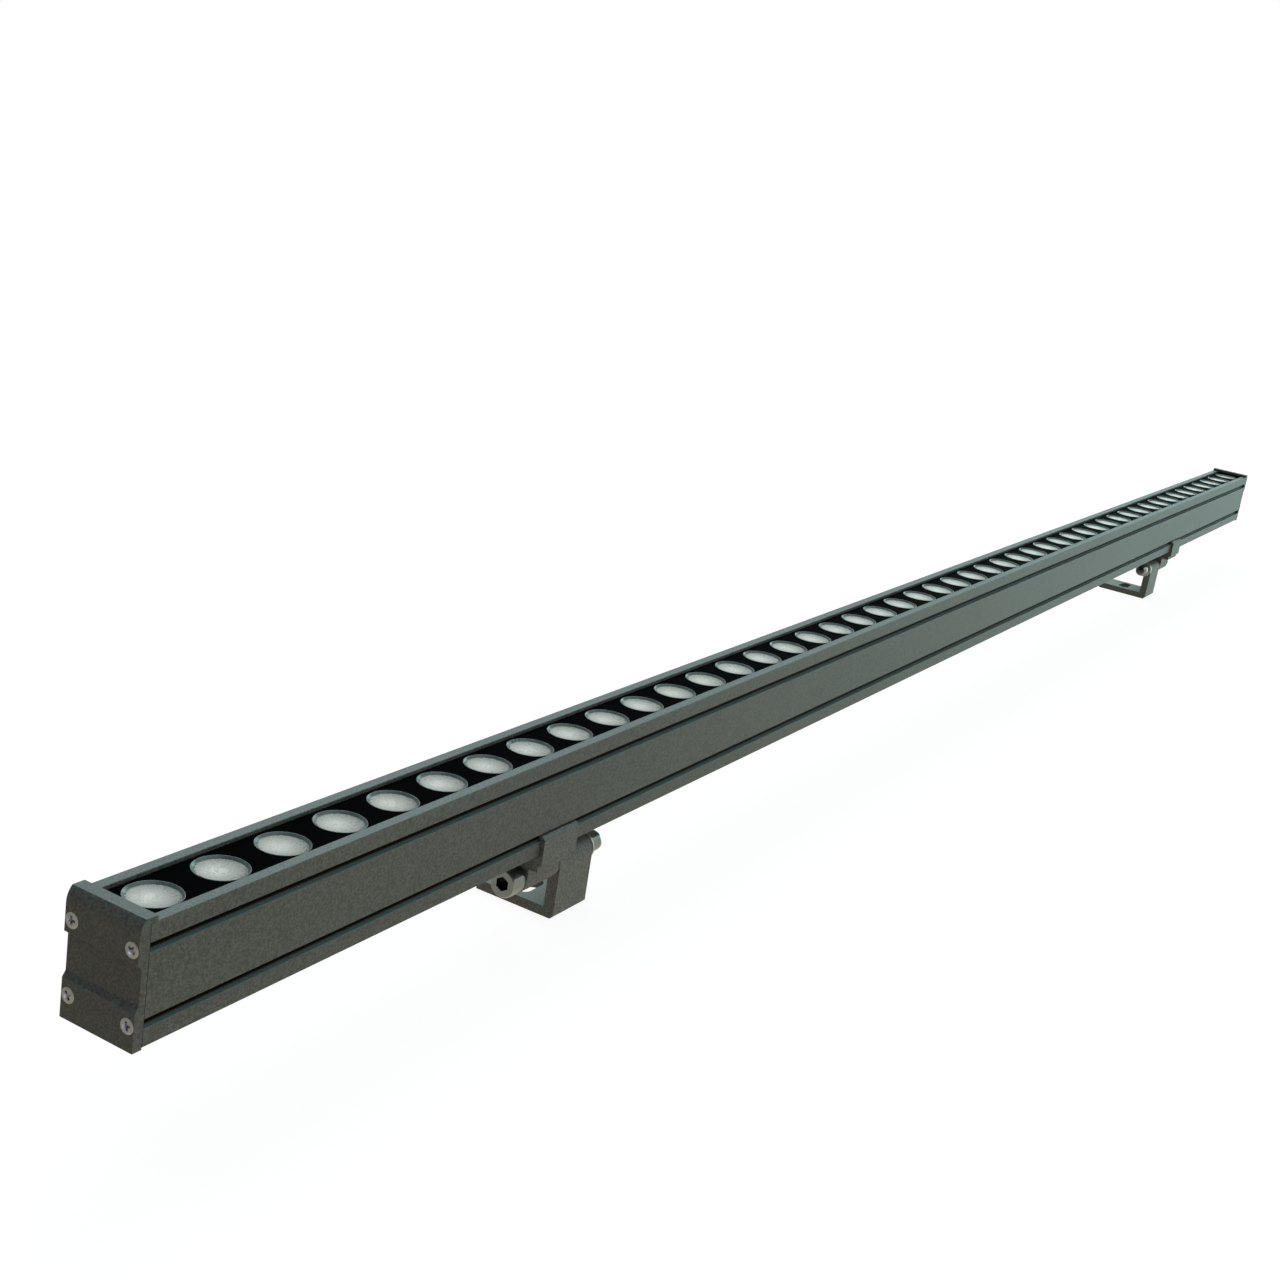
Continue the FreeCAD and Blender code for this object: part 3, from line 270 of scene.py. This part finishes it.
def handledFinish(name, choice):
    # metals and mouldings: one colour that smears shift a little
    material, tree, shader, where = newMaterial(name, Metallic=choice.get("metallic", 0.0),
                                                IOR=choice.get("ior", 1.5))
    marks = addGroup(tree, handling, Vector=where, Smears=choice.get("smears", 60.0),
                     Hairlines=choice.get("hairlines", 900.0), Base=choice["roughness"],
                     Spread=choice.get("spread", 0.1), Relief=choice.get("relief", 0.05))
    colour = addMix(tree, marks.outputs["Mask"], choice["colour"], choice["dulled"])
    if choice.get("paintedSocketShade"):
        # painted shade inside the socket
        colour = addMix(tree, socketShade(tree, where), colour, socketShadeChoice["colour"])
    fillInputs(tree, shader, {"Base_Color": colour, "Roughness": marks.outputs["Roughness"],
                              "Normal": marks.outputs["Normal"]})
    return material


def sealingFinish():
    # poured black compound with a faintly rippled skin
    material, tree, shader, where = newMaterial("sealingBlack", IOR=1.08,
                                                Specular_IOR_Level=0.05)
    ripple = noise(tree, where, 120.0, 2.0)
    colour = addMix(tree, ripple, rgb(0.0004, 0.0004, 0.0005), rgb(0.0016, 0.0016, 0.0018))
    bump = addNode(tree, "Bump", Strength=0.2, Distance=0.0002, Height=ripple)
    fillInputs(tree, shader, {"Base_Color": colour, "Normal": bump.outputs[0],
                              "Roughness": remap(tree, ripple, 0.3, 0.7, 0.5, 0.65)})
    return material


def lensRimFinish():
    material, tree, shader, where = newMaterial("lensRimClear", IOR=1.49, Transmission_Weight=0.25)
    marks = addGroup(tree, handling, Vector=where, Smears=300.0, Hairlines=1500.0, Base=0.3,
                     Spread=0.1, Relief=0.03)
    colour = addMix(tree, marks.outputs["Mask"], rgb(0.15, 0.17, 0.17), rgb(0.10, 0.115, 0.115))
    fillInputs(tree, shader, {"Base_Color": colour, "Roughness": marks.outputs["Roughness"],
                              "Normal": marks.outputs["Normal"]})
    return material


def lensWindowFinish():
    # milky window over the reflector, with a painted highlight off its middle and painted shade
    # darkening towards its edge
    material, tree, shader, where = newMaterial("lensWindow", IOR=1.49, Transmission_Weight=0.15)
    low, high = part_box("lenses_1")
    diameter = high.y - low.y
    pitch = (high.x - low.x - diameter) / 11
    at = addNode(tree, "SeparateXYZ", Vector=where).outputs
    along = addMath(tree, "SUBTRACT", at["X"], low.x + diameter / 2 - 100.4 * pitch)
    along = addMath(tree, "SUBTRACT", addMath(tree, "MODULO", along, pitch), 0.33 * pitch)
    across = addMath(tree, "SUBTRACT", at["Y"], low.y + 0.52 * diameter)
    reach = addMath(tree, "ADD", addMath(tree, "MULTIPLY", along, along),
                    addMath(tree, "MULTIPLY", across, across))
    edge = remap(tree, addMath(tree, "SQRT", reach), 0.1 * diameter, 0.5 * diameter)
    cloud = noise(tree, where, 800.0, 2.0, 0.7)
    # painted highlight off the middle, fading to painted shade at the window's edge
    colour = addMix(tree, edge, rgb(1.0, 0.86, 0.81), rgb(0.30, 0.26, 0.24))
    colour = addMix(tree, remap(tree, cloud, 0.4, 0.62, 0.0, 0.6), colour, rgb(0.50, 0.43, 0.40))
    fillInputs(tree, shader, {"Base_Color": colour,
                              "Roughness": remap(tree, cloud, 0.3, 0.7, 0.24, 0.36)})
    return material


def boardFinish():
    # white solder mask with the tracks just showing through it
    material, tree, shader, where = newMaterial("boardWhite", IOR=1.5)
    tracks = addNode(tree, "TexBrick", Vector=where, Scale=90.0, Mortar_Size=0.03,
                     Color1=rgb(0.78, 0.79, 0.77), Color2=rgb(0.74, 0.75, 0.73),
                     Mortar=rgb(0.62, 0.64, 0.62))
    cloud = noise(tree, where, 400.0, 2.0)
    fillInputs(tree, shader, {"Base_Color": tracks.outputs[0],
                              "Roughness": remap(tree, cloud, 0.3, 0.7, 0.3, 0.42)})
    return material


coatChoices = {
    "barCoat": {"colour": rgb(0.036, 0.038, 0.036), "fleck": rgb(0.108, 0.115, 0.108),
                "pebbles": 1900.0, "fleckShare": 0.85, "relief": 0.45, "roughness": 0.52,
                # the bar's grooves get painted shade and painted light
                "paintedGrooveShade": True},
    "capCoat": {"colour": rgb(0.036, 0.038, 0.036), "fleck": rgb(0.102, 0.108, 0.102),
                "pebbles": 1900.0, "fleckShare": 0.85, "relief": 0.5, "roughness": 0.55},
    "bracketCoat": {"colour": rgb(0.052, 0.055, 0.051), "fleck": rgb(0.150, 0.159, 0.148),
                    "pebbles": 1900.0, "fleckShare": 0.85, "relief": 0.5, "roughness": 0.54},
}
handledChoices = {
    "brightSteel": {"colour": rgb(0.38, 0.43, 0.43), "dulled": rgb(0.29, 0.32, 0.315),
                    "metallic": 1.0, "roughness": 0.16, "spread": 0.10, "smears": 180.0,
                    "paintedSocketShade": True},
    "headWasher": {"colour": rgb(0.030, 0.030, 0.031), "dulled": rgb(0.045, 0.045, 0.046),
                   "roughness": 0.5, "smears": 240.0},
    "washerSteel": {"colour": rgb(0.60, 0.60, 0.58), "dulled": rgb(0.44, 0.44, 0.42),
                    "metallic": 1.0, "roughness": 0.32, "spread": 0.14, "smears": 220.0},
    "screwSteel": {"colour": rgb(0.52, 0.53, 0.52), "dulled": rgb(0.40, 0.41, 0.40),
                   "metallic": 1.0, "roughness": 0.42, "spread": 0.14, "smears": 500.0},
    # recess facets: a brighter lavender copy of the screw steel, a painted highlight
    "recessSteelPaintedHighlight": {"colour": rgb(0.84, 0.82, 0.92), "dulled": rgb(0.58, 0.57, 0.63),
                    "metallic": 1.0, "roughness": 0.28, "spread": 0.10, "smears": 500.0},
    "gasketBlack": {"colour": rgb(0.012, 0.012, 0.013), "dulled": rgb(0.022, 0.022, 0.023),
                    "roughness": 0.7, "smears": 300.0},
    "padGrey": {"colour": rgb(0.30, 0.31, 0.33), "dulled": rgb(0.24, 0.25, 0.27),
                "roughness": 0.75, "smears": 200.0},
    "nylonBlack": {"colour": rgb(0.020, 0.020, 0.021), "dulled": rgb(0.036, 0.036, 0.037),
                   "roughness": 0.48, "smears": 240.0, "relief": 0.12},
    "componentBlack": {"colour": rgb(0.03, 0.03, 0.03), "dulled": rgb(0.05, 0.05, 0.05),
                       "roughness": 0.45, "smears": 200.0},
    "driverGreen": {"colour": rgb(0.02, 0.11, 0.05), "dulled": rgb(0.03, 0.16, 0.07),
                    "roughness": 0.35, "smears": 500.0},
    "terminalGreen": {"colour": rgb(0.05, 0.28, 0.13), "dulled": rgb(0.06, 0.33, 0.16),
                      "roughness": 0.45},
    "capacitorSleeve": {"colour": rgb(0.06, 0.07, 0.13), "dulled": rgb(0.08, 0.09, 0.16),
                        "roughness": 0.3},
    "wireInsulation": {"colour": rgb(0.45, 0.03, 0.02), "dulled": rgb(0.36, 0.03, 0.02),
                       "roughness": 0.4},
    "lightSource": {"colour": rgb(0.80, 0.72, 0.36), "dulled": rgb(0.74, 0.66, 0.30),
                    "roughness": 0.35, "smears": 900.0},
}
finishes = {name: coatFinish(name, choice) for name, choice in coatChoices.items()}
finishes.update({name: handledFinish(name, choice) for name, choice in handledChoices.items()})
finishes["sealingBlack"] = sealingFinish()
finishes["lensRimClear"] = lensRimFinish()
finishes["lensWindow"] = lensWindowFinish()
finishes["boardWhite"] = boardFinish()
print("finishes made:", len(finishes))

# which finish each kept node takes, by the last words of its name
nodeFinishes = {
    "housing": "barCoat", "end_cap": "capCoat", "clamp": "bracketCoat", "foot": "bracketCoat",
    "potting_seal": "sealingBlack", "leds_": "lightSource", "led_board": "boardWhite",
    "thermal_pad": "padGrey", "gasket": "gasketBlack", "gland_seal": "gasketBlack",
    "wire_grommet": "gasketBlack", "gland_body": "nylonBlack", "gland_nut": "nylonBlack",
    "gland_locknut": "nylonBlack", "driver_tray": "nylonBlack", "board_links": "nylonBlack",
    "friction_washer": "nylonBlack", "head_washer": "headWasher", "nut_washer": "washerSteel",
    "lock_screw": "washerSteel", "board_screws": "screwSteel", "cap_screws": "screwSteel",
    "_bolt": "brightSteel", "dome_nut": "brightSteel", "driver_board": "driverGreen",
    "terminal": "terminalGreen", "transformer": "componentBlack",
    "transistors": "componentBlack", "capacitors": "capacitorSleeve",
    "feed_wires": "wireInsulation", "lenses_": "lensWindow",
}


def finishNodes():
    for name, node in nodes.items():
        choices = [finish for words, finish in nodeFinishes.items() if words in name]
        for slot in node.material_slots:
            slot.material = finishes[choices[0]]
        if len(choices) != 1:
            print("check the finish of", name, choices)


finishNodes()


# mesh helpers

def newPiece(name, body, shape, finishNames, replaced=(), sharpAngle=35):
    mesh = bpy.data.meshes.new(name)
    bmesh.ops.recalc_face_normals(shape, faces=shape.faces)
    shape.to_mesh(mesh)
    shape.free()
    for finish in finishNames:
        mesh.materials.append(finishes[finish])
    mesh.shade_smooth()
    mesh.set_sharp_from_angle(angle=math.radians(sharpAngle))
    piece = bpy.data.objects.new(name, mesh)
    scene.collection.objects.link(piece)
    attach(piece, body)
    if replaced:
        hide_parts(*replaced)
    return piece


def spinProfile(shape, points, steps):
    # points are (radius, height), and the first and last lie on the axis
    verts = [shape.verts.new((radius, 0, height)) for radius, height in points]
    edges = [shape.edges.new(pair) for pair in zip(verts, verts[1:])]
    bmesh.ops.spin(shape, geom=verts + edges, cent=(0, 0, 0), axis=(0, 0, 1), angle=math.tau,
                   steps=steps, use_merge=True)
    bmesh.ops.remove_doubles(shape, verts=shape.verts, dist=1e-7)


def arcPoints(centre, radius, start, end, steps):
    # part of a circle in the profile, angles in degrees
    turn = [math.radians(start + (end - start) * step / steps) for step in range(steps + 1)]
    return [(centre[0] + radius * math.cos(a), centre[1] + radius * math.sin(a)) for a in turn]


# lenses

lensChoice = {
    "count": 12,                        # lenses in one row
    "ringWidth": 0.3 * millimetre,      # flat top of the ring round the window
    "recess": 1.0 * millimetre,         # how far the window lies below the ring
    "slope": 0.75 * millimetre,         # width of the ring's sloping inner side
    "flange": 2.6 * millimetre,
    "edgeRound": 0.12 * millimetre,
    "cells": 28,                        # crossed pattern: pyramids across the window
    "cellHeight": 0.18 * millimetre,
    "windowGap": 0.05 * millimetre,
    "windowStep": 0.05 * millimetre,    # the pattern's block stands this high
    "steps": 64,
}


def oneLens(radius):
    choice = lensChoice
    inner = radius - choice["ringWidth"]
    small = choice["edgeRound"]
    floor = -choice["recess"]
    lens = bmesh.new()
    profile = [(0, -choice["flange"]), (radius, -choice["flange"])]
    profile += arcPoints((radius - small, -small), small, 0, 90, 4)
    profile += arcPoints((inner + small, -small), small, 90, 150, 3)
    profile += [(inner - choice["slope"], floor), (0, floor)]
    spinProfile(lens, profile, choice["steps"])
    window = inner - choice["slope"] - choice["windowGap"]
    cell = 2 * window / choice["cells"]
    grid = bmesh.ops.create_grid(
        lens, x_segments=choice["cells"], y_segments=choice["cells"], size=window,
        matrix=Matrix.Translation((0, 0, floor + choice["windowStep"])))
    gridFaces = list({face for vert in grid["verts"] for face in vert.link_faces})
    outside = [face for face in gridFaces
               if face.calc_center_median().xy.length > window - cell * 0.5]
    kept = [face for face in gridFaces if face not in outside]
    bmesh.ops.delete(lens, geom=outside, context="FACES")
    for face in kept:
        face.material_index = 1
    block = bmesh.ops.extrude_face_region(lens, geom=kept, use_keep_orig=True)
    raised = [item for item in block["geom"] if isinstance(item, bmesh.types.BMVert)]
    bmesh.ops.translate(lens, verts=raised, vec=(0, 0, choice["windowStep"]))
    tops = [item for item in block["geom"] if isinstance(item, bmesh.types.BMFace)]
    bmesh.ops.poke(lens, faces=tops, offset=choice["cellHeight"])
    for face in lens.faces:
        centre = face.calc_center_median()
        if centre.z > floor + 1e-6 and centre.xy.length < window:
            face.material_index = 1
    return lens


def makeLenses(rank):
    name = "lenses_%d" % rank
    low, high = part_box(name)
    radius = (high.y - low.y) / 2
    count = lensChoice["count"]
    pitch = (high.x - low.x - 2 * radius) / (count - 1)
    pattern = bpy.data.meshes.new("lensPattern")
    single = oneLens(radius)
    single.to_mesh(pattern)
    single.free()
    row = bmesh.new()
    for index in range(count):
        before = len(row.verts)
        row.from_mesh(pattern)
        row.verts.ensure_lookup_table()
        place = Vector((low.x + radius + pitch * index, (low.y + high.y) / 2, high.z))
        bmesh.ops.translate(row, verts=row.verts[before:], vec=place)
    bpy.data.meshes.remove(pattern)
    newPiece("lens_row_%d" % rank, "lamp_bar", row, ["lensRimClear", "lensWindow"],
             [name], sharpAngle=20)


for rank in range(1, 5):
    makeLenses(rank)
print("lenses made")


# end cap screws

screwChoice = {
    "headRadius": 2.95 * millimetre,
    "edge": 0.25 * millimetre,
    "shankRadius": 1.2 * millimetre,
    "length": 15.8 * millimetre,
    "lowerStep": 0.4 * millimetre,      # the lower pair sits this much further in
    "slotLength": 4.9 * millimetre,
    "slotWidth": 1.2 * millimetre,
    "slotDepth": 1.7 * millimetre,
    "slotTaper": 0.42,                  # the recess narrows to this share of its length
    "slotNarrowing": 0.7,
    "crossTurns": {("low", -1): 14, ("low", 1): 33, ("high", -1): 58, ("high", 1): 5},
    "steps": 48,
}


def crossCutter():
    choice = screwChoice
    cutter = bmesh.new()
    for turn in (0, 90):
        made = bmesh.ops.create_cube(cutter, size=1.0)["verts"]
        bmesh.ops.scale(cutter, verts=made, vec=(choice["slotLength"], choice["slotWidth"],
                                                 2 * choice["slotDepth"]))
        foot = [vert for vert in made if vert.co.z < 0]
        bmesh.ops.scale(cutter, verts=foot, vec=(choice["slotTaper"], choice["slotNarrowing"], 1.0))
        bmesh.ops.rotate(cutter, verts=made, matrix=Matrix.Rotation(math.radians(turn), 3, "Z"))
    return cutter


def cutCross(head):
    # the recess is cut with one tapered bar after the other
    mesh = bpy.data.meshes.new("screwHead")
    head.to_mesh(mesh)
    head.free()
    target = bpy.data.objects.new("screwHead", mesh)
    scene.collection.objects.link(target)
    tool = bpy.data.objects.new("crossTool", bpy.data.meshes.new("crossTool"))
    cutter = crossCutter()
    for face in cutter.faces:
        face.material_index = 1
    cutter.to_mesh(tool.data)
    cutter.free()
    scene.collection.objects.link(tool)
    for item in (target, tool):
        item.data.materials.append(finishes["screwSteel"])
        item.data.materials.append(finishes["recessSteelPaintedHighlight"])
    cut = target.modifiers.new("cross", "BOOLEAN")
    cut.operation = "DIFFERENCE"
    cut.solver = "EXACT"
    cut.use_self = True
    cut.object = tool
    bpy.context.view_layer.update()
    depsgraph = bpy.context.evaluated_depsgraph_get()
    result = bpy.data.meshes.new_from_object(target.evaluated_get(depsgraph))
    bpy.data.objects.remove(target)
    bpy.data.objects.remove(tool)
    return result


def oneScrew():
    choice = screwChoice
    radius, edge = choice["headRadius"], choice["edge"]
    cone = radius - choice["shankRadius"]
    screw = bmesh.new()
    profile = [(0, 0), (radius - edge, 0)]
    profile += arcPoints((radius - edge, -edge), edge, 75, 0, 3)
    profile += [(choice["shankRadius"], -edge - cone), (choice["shankRadius"], -choice["length"]),
                (0, -choice["length"])]
    spinProfile(screw, profile, choice["steps"])
    bmesh.ops.recalc_face_normals(screw, faces=screw.faces)
    return cutCross(screw)


def makeCapScrews(side, sign, pattern):
    name = side + "_cap_screws"
    low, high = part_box(name)
    radius = screwChoice["headRadius"]
    face = high.x if sign > 0 else low.x
    screws = bmesh.new()
    lie = Matrix.Rotation(math.radians(90 * sign), 4, "Y")
    for (level, across), turn in screwChoice["crossTurns"].items():
        z = high.z - radius if level == "high" else low.z + radius
        x = face if level == "high" else face - sign * screwChoice["lowerStep"]
        y = (low.y + high.y) / 2 + across * ((high.y - low.y) / 2 - radius)
        before = len(screws.verts)
        screws.from_mesh(pattern)
        screws.verts.ensure_lookup_table()
        place = Matrix.Translation((x, y, z)) @ lie @ Matrix.Rotation(math.radians(turn), 4, "Z")
        bmesh.ops.transform(screws, verts=screws.verts[before:], matrix=place)
    newPiece(side + "_countersunk_screws", "lamp_bar", screws,
             ["screwSteel", "recessSteelPaintedHighlight"], [name])


screwPattern = oneScrew()
for side, sign in endSides.items():
    makeCapScrews(side, sign, screwPattern)
bpy.data.meshes.remove(screwPattern)
print("cap screws made")


# floor, light and camera

stageChoice = {
    "floorSize": 60.0,
    "floorColour": rgb(0.16, 0.14, 0.14),
    "floorGlow": 0.90,
    "backdrop": rgb(1.0, 1.0, 1.0),
    # sky levels from straight down, past the horizon, to overhead
    "sky": ((0.0, rgb(0.80, 0.72, 0.58)), (0.3, rgb(0.40, 0.37, 0.31)),
            (0.5, rgb(0.34, 0.325, 0.285)), (0.66, rgb(0.38, 0.40, 0.37)),
            (0.82, rgb(0.68, 0.92, 0.92)), (1.0, rgb(0.92, 1.24, 1.24))),
    "frontGlow": rgb(0.29, 0.265, 0.215),    # wide soft light from the -Y side
    "endGlow": rgb(2.3, 3.7, 3.6),          # bright wall beyond the cable end
    "dimCorner": rgb(0.08, 0.09, 0.11),     # dark screen high up beyond the near end
    "sunColour": (0.80, 1.0, 1.0),
    "sunStrength": 1.05,
    "sunAngle": 28.0,
    "sunFrom": (0.8, 0.6, 1.0),
}
cameraChoice = {
    "place": (-1.1314, -0.3951, 0.3549),
    "turn": (73.323, -8.680, -58.652),
    "focalLength": 50.46,
    "sensor": 36.0,
}


def makeFloor():
    # it gives the object no light, so the soft light alone shapes it
    floor = bmesh.new()
    bmesh.ops.create_grid(floor, x_segments=1, y_segments=1, size=stageChoice["floorSize"] / 2)
    mesh = bpy.data.meshes.new("floor")
    floor.to_mesh(mesh)
    floor.free()
    material, tree, shader, where = newMaterial("paleFloor", Roughness=1.0, IOR=1.05)
    tone = noise(tree, where, 3.0, 2.0)
    pale = stageChoice["floorColour"]
    deeper = rgb(*[part * 0.97 for part in pale[:3]])
    fillInputs(tree, shader, {"Base_Color": addMix(tree, tone, pale, deeper),
                              "Emission_Color": rgb(1.0, 1.0, 1.0),
                              "Emission_Strength": stageChoice["floorGlow"]})
    mesh.materials.append(material)
    piece = bpy.data.objects.new("floor", mesh)
    scene.collection.objects.link(piece)
    piece.visible_diffuse = False
    piece.visible_glossy = False
    piece.visible_transmission = False
    piece.visible_shadow = False


def addGlow(tree, base, colour, mask):
    node = tree.nodes.new("ShaderNodeMix")
    node.data_type = "RGBA"
    node.blend_type = "ADD"
    tree.links.new(mask, node.inputs[0])
    tree.links.new(base, node.inputs[6])
    node.inputs[7].default_value = colour
    return node.outputs[2]


def makeSky():
    world = bpy.data.worlds.new("studio")
    scene.world = world
    world.use_nodes = True
    tree = world.node_tree
    tree.nodes.clear()
    where = tree.nodes.new("ShaderNodeTexCoord").outputs["Generated"]
    towards = addNode(tree, "SeparateXYZ", Vector=where).outputs
    ramp = addNode(tree, "ValToRGB", Fac=remap(tree, towards["Z"], -1.0, 1.0))
    stops = ramp.color_ramp.elements
    while len(stops) < len(stageChoice["sky"]):
        stops.new(0.5)
    for stop, (position, colour) in zip(stops, stageChoice["sky"]):
        stop.position = position
        stop.color = colour
    colour = addGlow(tree, ramp.outputs[0], stageChoice["frontGlow"],
                     remap(tree, towards["Y"], -0.1, -1.0))
    colour = addGlow(tree, colour, stageChoice["endGlow"], remap(tree, towards["X"], 0.88, 1.0))
    dim = addMath(tree, "MULTIPLY", remap(tree, towards["X"], -0.15, -0.6),
                  remap(tree, towards["Z"], 0.08, 0.35))
    colour = addMix(tree, dim, colour, stageChoice["dimCorner"])
    light = addNode(tree, "Background", Color=colour, Strength=1.0)
    plain = addNode(tree, "Background", Color=stageChoice["backdrop"], Strength=1.0)
    seen = tree.nodes.new("ShaderNodeLightPath").outputs["Is Camera Ray"]
    mixed = tree.nodes.new("ShaderNodeMixShader")
    tree.links.new(seen, mixed.inputs[0])
    tree.links.new(light.outputs[0], mixed.inputs[1])
    tree.links.new(plain.outputs[0], mixed.inputs[2])
    out = tree.nodes.new("ShaderNodeOutputWorld")
    tree.links.new(mixed.outputs[0], out.inputs["Surface"])


def makeSun():
    lamp = bpy.data.lights.new("overhead", "SUN")
    lamp.energy = stageChoice["sunStrength"]
    lamp.color = stageChoice["sunColour"]
    lamp.angle = math.radians(stageChoice["sunAngle"])
    sun = bpy.data.objects.new("overhead", lamp)
    sun.rotation_euler = Vector(stageChoice["sunFrom"]).to_track_quat("Z", "Y").to_euler()
    scene.collection.objects.link(sun)


def makeCamera():
    lens = bpy.data.cameras.new("camera")
    lens.lens = cameraChoice["focalLength"]
    lens.sensor_width = cameraChoice["sensor"]
    lens.clip_start = 0.01
    lens.clip_end = 200.0
    camera = bpy.data.objects.new("camera", lens)
    camera.location = cameraChoice["place"]
    camera.rotation_euler = [math.radians(angle) for angle in cameraChoice["turn"]]
    scene.collection.objects.link(camera)
    scene.camera = camera


makeFloor()
makeSky()
makeSun()
makeCamera()
scene.view_settings.view_transform = "Standard"
print("stage made")
